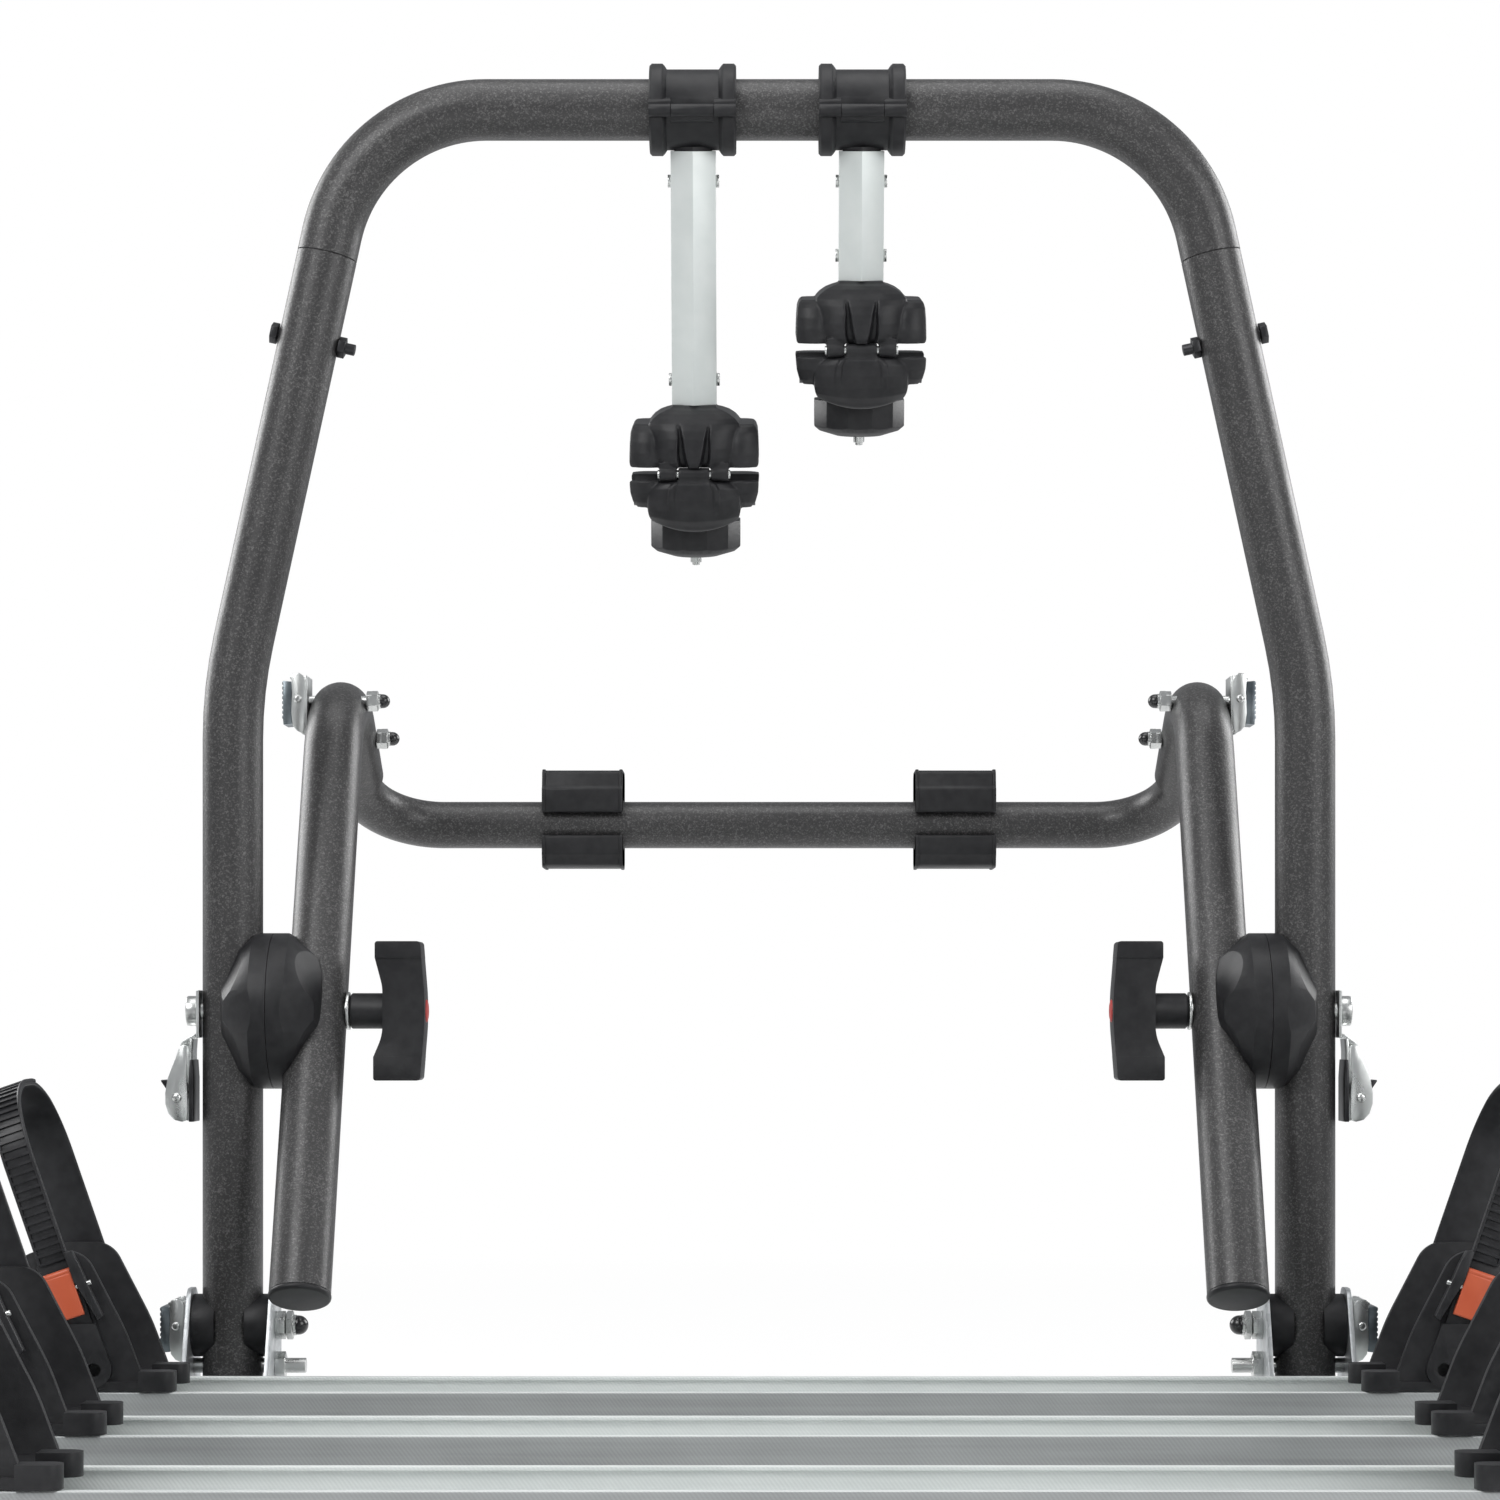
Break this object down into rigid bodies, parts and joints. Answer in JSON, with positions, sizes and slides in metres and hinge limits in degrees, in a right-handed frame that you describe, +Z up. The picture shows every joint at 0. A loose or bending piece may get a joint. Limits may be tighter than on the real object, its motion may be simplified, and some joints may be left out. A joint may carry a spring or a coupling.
{
  "type": "car bike rack",
  "caption": "Rear-door bicycle carrier: bent-tube hoop with hinged bike arms and a tilting padded car frame over a platform of wheel rails with strapped cradles.",
  "frame": {"origin": "on the floor, in the middle of the rack's footprint", "axes": "+X to the right along the wheel rails, +Y towards the car, +Z up"},
  "size_m": [1.2, 0.7904, 0.762],
  "materials": {
    "powder_coat": "dark hammered powder coat",
    "black_moulding": "satin moulded",
    "black_hardware": "blackened",
    "zinc_hardware": "zinc plated",
    "zinc_buckle": "zinc plated pressing",
    "galvanised_sheet": "galvanised",
    "arm_aluminium": "satin anodised",
    "rail_aluminium": "mill finish, finely ribbed",
    "strap_polymer": "moulded, ladder textured",
    "lever_orange": "satin moulded"
  },
  "bodies": {
    "platform": {"beam_left": "galvanised_sheet", "beam_right": "galvanised_sheet", "rail_back": "rail_aluminium", "rail_middle": "rail_aluminium", "rail_front": "rail_aluminium", "platform_bolts": "zinc_hardware", "lower_buckles": "zinc_buckle"},
    "hoop": {"upper_hoop": "powder_coat", "left_leg": "powder_coat", "right_leg": "powder_coat", "hoop_bolts": "black_hardware", "hinge_bushes": "black_moulding", "leg_joint_half_left": "black_moulding", "leg_joint_half_right": "black_moulding", "joint_bolts": "zinc_hardware"},
    "car_frame": {"arm_left": "powder_coat", "arm_right": "powder_coat", "crossbar": "powder_coat", "tailgate_pads": "black_moulding", "arm_end_caps": "black_moulding", "arm_bolts": "zinc_hardware", "arm_joint_half_left": "black_moulding", "arm_joint_half_right": "black_moulding", "upper_buckles": "zinc_buckle"},
    "side_buckle_left": {"side_buckle_left": "zinc_buckle"},
    "side_buckle_right": {"side_buckle_right": "zinc_buckle"},
    "tee_knob_left": {"tee_knob_left": "black_moulding"},
    "tee_knob_right": {"tee_knob_right": "black_moulding"},
    "long_arm": {"long_clamp_seat": "black_moulding", "long_clamp_cap": "black_moulding", "long_arm_tube": "arm_aluminium", "long_fixed_jaw": "black_moulding", "long_arm_fasteners": "zinc_hardware"},
    "long_knob": {"long_clamp_knob": "black_moulding"},
    "long_jaw": {"long_moving_jaw": "black_moulding"},
    "short_arm": {"short_clamp_seat": "black_moulding", "short_clamp_cap": "black_moulding", "short_arm_tube": "arm_aluminium", "short_fixed_jaw": "black_moulding", "short_arm_fasteners": "zinc_hardware"},
    "short_knob": {"short_clamp_knob": "black_moulding"},
    "short_jaw": {"short_moving_jaw": "black_moulding"},
    "cradle_back_left": {"cradle_back_left": "black_moulding", "strap_back_left": "strap_polymer"},
    "lever_back_left": {"ratchet_lever_back_left": "lever_orange"},
    "cradle_back_right": {"cradle_back_right": "black_moulding", "strap_back_right": "strap_polymer"},
    "lever_back_right": {"ratchet_lever_back_right": "lever_orange"},
    "cradle_middle_left": {"cradle_middle_left": "black_moulding", "strap_middle_left": "strap_polymer"},
    "lever_middle_left": {"ratchet_lever_middle_left": "lever_orange"},
    "cradle_middle_right": {"cradle_middle_right": "black_moulding", "strap_middle_right": "strap_polymer"},
    "lever_middle_right": {"ratchet_lever_middle_right": "lever_orange"},
    "cradle_front_left": {"cradle_front_left": "black_moulding", "strap_front_left": "strap_polymer"},
    "lever_front_left": {"ratchet_lever_front_left": "lever_orange"},
    "cradle_front_right": {"cradle_front_right": "black_moulding", "strap_front_right": "strap_polymer"},
    "lever_front_right": {"ratchet_lever_front_right": "lever_orange"}
  },
  "joints": [
    {"name": "frame_fold", "type": "hinge", "parent": "platform", "child": "hoop", "pos_m": [0, 0.13881, 0.09], "axis": [1, 0, 0], "range_deg": [0, 16]},
    {"name": "car_frame_tilt", "type": "hinge", "parent": "hoop", "child": "car_frame", "pos_m": [0, 0.13881, 0.2575], "axis": [1, 0, 0], "range_deg": [-60, 14]},
    {"name": "side_buckle_left_swing", "type": "hinge", "parent": "hoop", "child": "side_buckle_left", "pos_m": [-0.3019, 0.13881, 0.2575], "axis": [1, 0, 0], "continuous": true},
    {"name": "side_buckle_right_swing", "type": "hinge", "parent": "hoop", "child": "side_buckle_right", "pos_m": [0.3019, 0.13881, 0.2575], "axis": [1, 0, 0], "continuous": true},
    {"name": "tee_knob_left_turn", "type": "hinge", "parent": "car_frame", "child": "tee_knob_left", "pos_m": [-0.205, 0.13881, 0.2575], "axis": [1, 0, 0], "continuous": true},
    {"name": "tee_knob_right_turn", "type": "hinge", "parent": "car_frame", "child": "tee_knob_right", "pos_m": [0.205, 0.13881, 0.2575], "axis": [1, 0, 0], "continuous": true},
    {"name": "long_arm_swing", "type": "hinge", "parent": "hoop", "child": "long_arm", "pos_m": [-0.0405, 0.13881, 0.738], "axis": [1, 0, 0], "range_deg": [-120, 40]},
    {"name": "long_knob_travel", "type": "slide", "parent": "long_arm", "child": "long_knob", "axis": [0, 0.2419, -0.9703], "range_m": [0, 0.012]},
    {"name": "long_jaw_opening", "type": "hinge", "parent": "long_arm", "child": "long_jaw", "pos_m": [-0.0405, 0.16173, 0.54687], "axis": [-1, 0, 0], "range_deg": [0, 14.6]},
    {"name": "short_arm_swing", "type": "hinge", "parent": "hoop", "child": "short_arm", "pos_m": [0.0495, 0.13881, 0.738], "axis": [1, 0, 0], "range_deg": [-120, 40]},
    {"name": "short_knob_travel", "type": "slide", "parent": "short_arm", "child": "short_knob", "axis": [0, 0.2419, -0.9703], "range_m": [0, 0.012]},
    {"name": "short_jaw_opening", "type": "hinge", "parent": "short_arm", "child": "short_jaw", "pos_m": [0.0495, 0.14576, 0.61091], "axis": [-1, 0, 0], "range_deg": [0, 14.6]},
    {"name": "cradle_back_left_slide", "type": "slide", "parent": "platform", "child": "cradle_back_left", "axis": [-1, 0, 0], "range_m": [-0.04, 0.15]},
    {"name": "lever_back_left_lift", "type": "hinge", "parent": "cradle_back_left", "child": "lever_back_left", "pos_m": [-0.35407, 0.00411, 0.1256], "axis": [-0.9455, 0, -0.3256], "range_deg": [0, 70]},
    {"name": "cradle_back_right_slide", "type": "slide", "parent": "platform", "child": "cradle_back_right", "axis": [1, 0, 0], "range_m": [-0.04, 0.15]},
    {"name": "lever_back_right_lift", "type": "hinge", "parent": "cradle_back_right", "child": "lever_back_right", "pos_m": [0.35407, 0.00411, 0.1256], "axis": [-0.9455, 0, 0.3256], "range_deg": [0, 70]},
    {"name": "cradle_middle_left_slide", "type": "slide", "parent": "platform", "child": "cradle_middle_left", "axis": [-1, 0, 0], "range_m": [-0.04, 0.15]},
    {"name": "lever_middle_left_lift", "type": "hinge", "parent": "cradle_middle_left", "child": "lever_middle_left", "pos_m": [-0.35407, -0.19389, 0.1256], "axis": [-0.9455, 0, -0.3256], "range_deg": [0, 70]},
    {"name": "cradle_middle_right_slide", "type": "slide", "parent": "platform", "child": "cradle_middle_right", "axis": [1, 0, 0], "range_m": [-0.04, 0.15]},
    {"name": "lever_middle_right_lift", "type": "hinge", "parent": "cradle_middle_right", "child": "lever_middle_right", "pos_m": [0.35407, -0.19389, 0.1256], "axis": [-0.9455, 0, 0.3256], "range_deg": [0, 70]},
    {"name": "cradle_front_left_slide", "type": "slide", "parent": "platform", "child": "cradle_front_left", "axis": [-1, 0, 0], "range_m": [-0.04, 0.15]},
    {"name": "lever_front_left_lift", "type": "hinge", "parent": "cradle_front_left", "child": "lever_front_left", "pos_m": [-0.33607, -0.39189, 0.1256], "axis": [-0.9455, 0, -0.3256], "range_deg": [0, 70]},
    {"name": "cradle_front_right_slide", "type": "slide", "parent": "platform", "child": "cradle_front_right", "axis": [1, 0, 0], "range_m": [-0.04, 0.15]},
    {"name": "lever_front_right_lift", "type": "hinge", "parent": "cradle_front_right", "child": "lever_front_right", "pos_m": [0.33607, -0.39189, 0.1256], "axis": [-0.9455, 0, 0.3256], "range_deg": [0, 70]}
  ],
  "couplings": [
    {"joint": "long_jaw_opening", "follows": "long_knob_travel", "rad_per_m": 20.833},
    {"joint": "short_jaw_opening", "follows": "short_knob_travel", "rad_per_m": 20.833}
  ]
}
